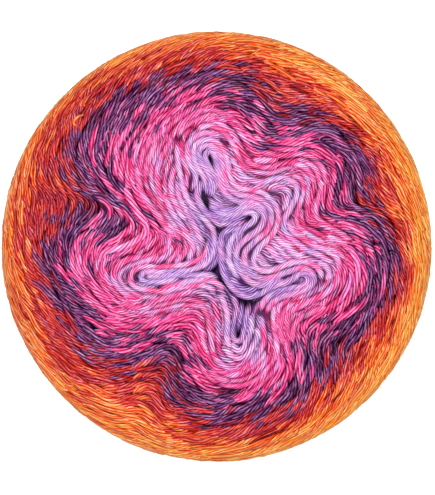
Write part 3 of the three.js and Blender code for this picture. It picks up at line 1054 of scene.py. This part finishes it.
# The strands that line the slit: each as (x, y) points, how high it lies, and how far its dye is ahead
CORE_STRAND_THICKNESS = 2.1
CORE_SINK = 0.35
CORE_TUCK = 0.6
CURVE_STEPS = 12
CORE_STRANDS = (
    dict(
        name="N loop, round the eye and into the tongue", lift=0.3, shade=0.03,
        points=(
            (23, -10.7), (19.9, -12), (16.7, -13), (13.6, -13), (10.8, -11.5), (8.5, -9.1),
            (7, -6.3), (6.6, -3.2), (7.4, -0.4), (9.4, 1.9), (11.8, 3.8), (14.3, 5.7),
            (15.8, 7.8), (16.4, 10.3), (15.7, 12.8), (13.7, 14.5), (11.1, 15.2), (8.3, 15.2),
            (5.5, 16.1), (3.1, 17.9), (1.7, 20.4), (1.1, 22.7), (0.8, 25.1), (0.2, 27.4),
            (-0.1, 29.6), (-0.7, 31.6), (-1.9, 32.7), (-3.2, 32.4), (-3.9, 30.9), (-3.5, 28.9),
            (-2.3, 26.9), (-1.1, 24.8), (-0.5, 22.5), (-0.8, 20.2), (-1.8, 18.3), (-3, 16.7),
        ),
    ),
    dict(
        name="N loop, second", lift=0.2, shade=0.03,
        points=(
            (16.9, -23.7), (17.8, -21.1), (19.5, -19), (22.1, -17.4), (25.4, -16.4), (28.9, -15.6),
            (31.7, -14.2), (33.2, -11.9), (33, -9.4), (31, -7.8), (28.4, -7.4), (25.4, -8.3),
            (22.3, -9.5), (19.2, -10.6), (16, -11.1), (13.2, -10.3), (11.1, -8.2), (9.7, -5.6),
            (9.6, -2.8), (11.1, -0.2), (13.4, 1.9), (15.7, 3.8), (17.5, 5.8), (18.7, 8.2),
            (18.7, 10.8), (17.9, 13.4), (16, 15.6), (13.4, 16.7), (10.4, 17.1), (7.8, 17.7),
            (5.5, 18.8), (3.7, 20.6), (2.9, 23), (2.5, 25.8), (2.1, 28.6), (1.1, 31.4),
            (-0.4, 33.4), (-2.3, 34.5), (-4.4, 34.4), (-5.8, 33.1), (-6, 31), (-5.3, 28.9),
            (-4, 27), (-2.7, 24.9), (-2.1, 22.7), (-2.3, 20.6), (-3.2, 18.6), (-4, 17.1),
        ),
    ),
    dict(
        name="N loop, third", lift=0.05, shade=0.06,
        points=(
            (36.2, -12.2), (35.8, -9.3), (33.6, -6.6), (30.5, -5.4), (27.2, -5.3), (24, -6.2),
            (20.9, -7.5), (17.8, -8.5), (14.9, -8.1), (13, -6.3), (12.8, -3.7), (14.1, -1.1),
            (16.2, 1.2), (18.5, 3.3), (20.2, 5.7), (21.2, 8.4), (21.2, 11.3), (20, 14.3),
            (17.9, 16.7), (15.3, 18.4), (12.4, 19.2), (9.4, 19.6), (7.1, 20.7), (5.1, 22.8),
            (4.3, 25.8), (3.8, 28.8), (2.9, 31.7), (1.5, 34.2), (-0.6, 35.9), (-3, 36.6),
            (-5.4, 36.1), (-7.2, 34.5), (-7.9, 32.4), (-7.6, 30), (-6.9, 27.9), (-5.8, 26),
            (-4.5, 24.1), (-3.8, 22), (-4, 19.9), (-4.7, 18.2),
        ),
    ),
    dict(
        name="N loop, fourth, with a blunt end", lift=0.15, shade=0.08,
        points=(
            (2.1, 36.4), (-0.7, 38.2), (-3.9, 38.8), (-6.8, 37.9), (-8.9, 36.1), (-9.8, 33.6),
            (-9.7, 31), (-9, 28.6), (-7.9, 26.3), (-7.2, 24.1), (-7.3, 21.8), (-8.1, 19.9),
            (-9.2, 18.5),
        ),
    ),
    dict(
        name="NW edge, beside the hole", lift=-0.05, shade=0.18,
        points=(
            (-7, 40.6), (-9.4, 39.6), (-11, 37.5), (-11.7, 34.9), (-11.8, 32.4), (-11.4, 30),
            (-10.7, 27.4), (-10, 25.1), (-10.3, 22.7), (-10.4, 20.4), (-9.7, 17.9),
        ),
    ),
    dict(
        name="NW edge, right of the hole", lift=0.25, shade=0.05,
        points=(
            (-5.4, 23.4), (-5.7, 20.9), (-6.4, 18.8), (-6.4, 16.6), (-5.3, 13.9), (-3.5, 11.5),
            (-1.3, 9.5), (0.7, 7.8), (2.7, 5.9),
        ),
    ),
    dict(
        name="NE lobe, lowest", lift=0, shade=0,
        points=(
            (-2.9, 13.8), (-1.8, 11.7), (0.1, 10.1), (2.8, 9.1), (5.9, 9.1), (8.7, 9.7),
            (11.3, 10.3),
        ),
    ),
    dict(
        name="NE lobe, under the lowest", lift=-0.2, shade=0.12,
        points=(
            (-1.1, 9.2), (1.5, 7.9), (4.9, 7.5), (8.3, 7.9), (11.3, 9),
        ),
    ),
    dict(
        name="NE lobe, inner", lift=0.1, shade=0,
        points=(
            (-3, 17.4), (-1.4, 15.3), (0.7, 13.6), (3.5, 12.5), (6.6, 12.6), (9.7, 13.5),
            (12.2, 13.8), (14.1, 12.9), (15, 11.1), (14.6, 8.9),
        ),
    ),
    dict(
        name="NE lobe, round the eye", lift=0.15, shade=0,
        points=(
            (-2.6, 15.5), (-1.3, 13.4), (0.8, 11.7), (3.5, 10.8), (6.6, 10.9), (9.4, 11.5),
            (11.6, 11.8), (13, 11), (13.2, 9.5), (12, 8.1), (9.7, 6.5), (7.3, 4.7),
            (5.4, 2.6), (4.4, 0), (4.3, -3.2), (4.9, -6.3), (6.4, -9.3), (8.7, -11.7),
        ),
    ),
    dict(
        name="E bulge, edge and round the eye", lift=0.35, shade=0.05,
        points=(
            (10.4, 6.6), (7.5, 6.3), (4.7, 5.8), (2.6, 4.5), (1.6, 1.9), (1.4, -1.4),
            (1.6, -4.9), (2.3, -8.4), (3.8, -12), (6.1, -14.9), (8.7, -16.6), (11.6, -17.1),
            (14.5, -16.3), (17.6, -14.7), (20.7, -13.2), (23.9, -12.3), (26.3, -11), (28, -9.7),
            (30, -9.3), (31.4, -10.7), (31, -12.6), (29.1, -13.7), (26.1, -14.2), (23, -14.9),
            (19.9, -16), (17.4, -17.6), (15.8, -19.9), (14.9, -22.7),
        ),
    ),
    dict(
        name="S lobe, round the eye", lift=-0.1, shade=0.05,
        points=(
            (11.5, -19), (10.8, -22), (10.1, -24.8), (9.6, -27.7), (9.2, -30.4), (8.2, -32.2),
            (6.8, -32.6), (5.8, -31.4), (5.5, -29.1), (5.8, -26.2), (6.5, -23.2), (6.8, -20.4),
            (5.7, -17.8), (3.6, -15.6),
        ),
    ),
    dict(
        name="S lobe, middle", lift=-0.15, shade=0,
        points=(
            (8.7, -18.3), (8.6, -21.3), (8.1, -24.4), (7.6, -27.2), (7.3, -29.8),
        ),
    ),
    dict(
        name="NW lobe, second and round the W eye", lift=0.05, shade=0.08,
        points=(
            (-13.3, 37), (-13.4, 34.2), (-13.4, 31.4), (-13.1, 28.6), (-12.6, 25.8), (-12.1, 23),
            (-11.4, 20.2), (-10.4, 17.4), (-8.8, 14.5), (-6.8, 11.8), (-4.6, 9.6), (-2.5, 7.5),
            (-1.1, 5.2), (-0.7, 2.8), (-0.7, 0), (-1.3, -2.8), (-2.5, -4.9), (-4.6, -6.5),
            (-7, -7.5), (-9.8, -8.2), (-12.9, -8.6), (-16.1, -8.8), (-19.6, -8.8), (-22.7, -8.6),
            (-24.9, -8.8), (-25.9, -10), (-25.5, -11.3), (-23.7, -12.2), (-21, -12.3), (-17.8, -12),
            (-14.7, -11.4), (-11.2, -11),
        ),
    ),
    dict(
        name="NW lobe, lowest", lift=-0.2, shade=0.05,
        points=(
            (0.1, 5.7), (0.7, 2.1), (0.7, -1.1), (0.2, -4), (-1.1, -6.4), (-3.3, -7.9),
            (-6.1, -8.7),
        ),
    ),
    dict(
        name="W lobe, below the eye", lift=0.1, shade=0.2,
        points=(
            (-20.3, -14.8), (-17.1, -14.1), (-14, -13.1), (-10.8, -12.2), (-7.4, -11.7), (-3.5, -11.6),
            (-0.4, -12.4), (1.9, -14), (3.6, -15.7),
        ),
    ),
    dict(
        name="W lobe, middle", lift=0.1, shade=0.05,
        points=(
            (-25, -10.4), (-22.7, -10.4), (-20.3, -10.4), (-17.5, -10.2), (-14.3, -9.9), (-11.2, -9.8),
            (-7.7, -9.9), (-4.2, -9.7), (-1.1, -10.1), (1, -11),
        ),
    ),
    dict(
        name="W lobe, second", lift=0, shade=0.15,
        points=(
            (-3.2, 2.1), (-3.1, -0.4), (-3.9, -2.5), (-5.6, -4.2), (-8.1, -5.5), (-10.8, -6.3),
            (-13.6, -6.6), (-16.8, -6.9), (-21, -6.9), (-25, -6.9), (-27.9, -8), (-29.4, -10.1),
            (-29.1, -12.4), (-27.6, -14), (-25, -14.7), (-21.7, -15.2), (-18.2, -15.5), (-14.7, -14.8),
            (-11.2, -14), (-7.7, -13.5), (-4.2, -13.6), (-1.4, -14.5), (0.7, -16.2),
        ),
    ),
)

# Where the slit stays open between the strands
HOLE_SIZE = 1.0
CORE_HOLES = (
    (-9.0, 21.4), (-7.9, 17.0), (-4.0, 15.2), (-27.8, -10.7), (28.7, -11.7), (-1.9, 31.0),
    (9.7, -19.9),
)

# The strands of the top are one piece for each band of colour, up to these laps
ZONES = (("core", 0.30), ("pink", 0.50), ("plum", 0.68), ("red", 0.84), ("orange", 2))

# Where the seeds of the strands may lie, and how far the strands may run
TOP_LAPS = dict(laps=(-0.02, 1.0), limits=(-0.03, 1.02))
UNDER_LAPS = dict(laps=(-0.04, 0.45), limits=(-0.04, 0.45))
SIDE_LAPS = dict(laps=(1.0, 2.0), limits=(0.96, 2.04))
BASE_LAPS = dict(laps=(2.0, 3.09), limits=(1.98, 3.1))
FIRST_BASE_LAPS = (2.0, 3.0)
SIDE_HALVES = (("upper_side_strands", 0, 1.5), ("lower_side_strands", 1.5, 3))
SEED_NUMBER = 20
PLAN_MARGIN = 45
SIDE_MARGIN = 20

# A short end of one thread that curls up out of the red layers
CURL_STEPS = 6
CURL = dict(
    lift=0.9,
    tuck=0.9,
    shade=0.96,
    thickness=0.8,
    points=(
        (-45.6, 45.1), (-46.3, 44.8), (-47.2, 44.4), (-48.1, 43.7), (-48.7, 42.7), (-48.7, 41.8),
        (-48.0, 41.3), (-47.5, 41.5),
    ),
)


def dress(piece, material):
    piece.data.materials.append(material)
    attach(piece, BODY)
    return piece


def add_inner_body():
    piece = dress(inner_body(), body_material())
    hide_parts(NODE)


def flat_field():
    reach = RADIUS + PLAN_MARGIN
    return Field(flat_plan, (-reach, -reach), (reach, reach))


def add_top(rng, yarn):
    field = flat_field()
    for x, y in CORE_HOLES:
        field.cover(np.array([[x, y, HEIGHT]]), HOLE_SIZE)
    placed = [placed_strand(field, row) for row in CORE_STRANDS]
    top = lay_strands(rng, field, **TOP_LAPS, style=TOP_STYLE, filler=TOP_FILLER, first=placed)
    under = lay_strands(rng, flat_field(), **UNDER_LAPS, style=UNDER_STYLE, filler=UNDER_FILLER, first=[])
    add_piece(rng, "under_strands", under, yarn)
    zones = {name: [] for name, _ in ZONES}
    for strand in top:
        lap = strand["path"][:, 0].mean()
        name = next(name for name, end in ZONES if lap < end)
        zones[name].append(strand_arrays(rng, strand))
    zones["orange"].append(strand_arrays(rng, curl_strand()))
    for name, parts in zones.items():
        dress(strand_mesh(f"top_strands_{name}", parts), yarn)


def add_side(rng, yarn):
    half_round = math.pi * RADIUS
    field = Field(side_plan, (-half_round, -SIDE_MARGIN), (half_round, HEIGHT + SIDE_MARGIN))
    spots = seeds(rng, FIRST_SEEDS, SIDE_LAPS["laps"])
    first = accept(rng, field, field.taken, SIDE_STYLE, SIDE_LAPS["limits"], spots)
    side = lay_strands(rng, field, **SIDE_LAPS, style=SIDE_STYLE, filler=SIDE_FILLER, first=first)
    for name, low, high in SIDE_HALVES:
        half = [strand for strand in side if low <= strand["path"][:, 0].mean() < high]
        add_piece(rng, name, half, yarn)


def add_base(rng, yarn):
    field = flat_field()
    spots = seeds(rng, FIRST_SEEDS, FIRST_BASE_LAPS)
    first = accept(rng, field, field.taken, BASE_STYLE, BASE_LAPS["limits"], spots)
    base = lay_strands(rng, field, **BASE_LAPS, style=BASE_STYLE, filler=BASE_FILLER, first=first)
    add_piece(rng, "base_strands", base, yarn)


def add_piece(rng, name, strands, yarn):
    parts = [strand_arrays(rng, strand) for strand in strands]
    return dress(strand_mesh(name, parts), yarn)


def add_strands(yarn):
    rng = np.random.default_rng(SEED_NUMBER)
    add_top(rng, yarn)
    add_side(rng, yarn)
    add_base(rng, yarn)


# Floor, light and camera

FRAME_PIXELS = (435, 495)
CAKE_CENTRE_PIXEL = (216.5, 246.4)
CAKE_RADIUS_PIXELS = 214.5
CAMERA_HEIGHT = 1.4
SENSOR = 36.0


def add_floor():
    bpy.ops.mesh.primitive_plane_add(size=6)
    floor = bpy.context.object
    floor.name = "floor"
    floor.data.materials.append(floor_material())


def add_light(name, place, size, power, aim=(0, 0, 0.03)):
    data = bpy.data.lights.new(name, "AREA")
    data.shape = "DISK"
    data.size = size
    data.energy = power
    light = bpy.data.objects.new(name, data)
    light.location = place
    light.rotation_euler = (Vector(aim) - Vector(place)).to_track_quat("-Z", "Y").to_euler()
    bpy.context.scene.collection.objects.link(light)


def add_camera():
    pixel = RADIUS * MM / CAKE_RADIUS_PIXELS
    across = (FRAME_PIXELS[0] / 2 - CAKE_CENTRE_PIXEL[0]) * pixel
    down = (FRAME_PIXELS[1] / 2 - CAKE_CENTRE_PIXEL[1]) * pixel
    data = bpy.data.cameras.new("camera")
    data.sensor_width = SENSOR
    distance = CAMERA_HEIGHT - HEIGHT * MM / 2
    data.lens = SENSOR * distance / (FRAME_PIXELS[1] * pixel)
    camera = bpy.data.objects.new("camera", data)
    camera.location = (across, -down, CAMERA_HEIGHT)
    bpy.context.scene.collection.objects.link(camera)
    bpy.context.scene.camera = camera


def add_world():
    world = bpy.data.worlds.new("studio")
    world.use_nodes = True
    background = world.node_tree.nodes["Background"]
    background.inputs["Color"].default_value = (1, 1, 1, 1)
    background.inputs["Strength"].default_value = 0.6
    bpy.context.scene.world = world


add_camera()
add_world()
add_floor()
add_light("softbox", place=(-0.02, 0.06, 1.6), size=0.35, power=52)
add_inner_body()
add_strands(yarn_material())
bpy.context.scene.view_settings.view_transform = "Standard"
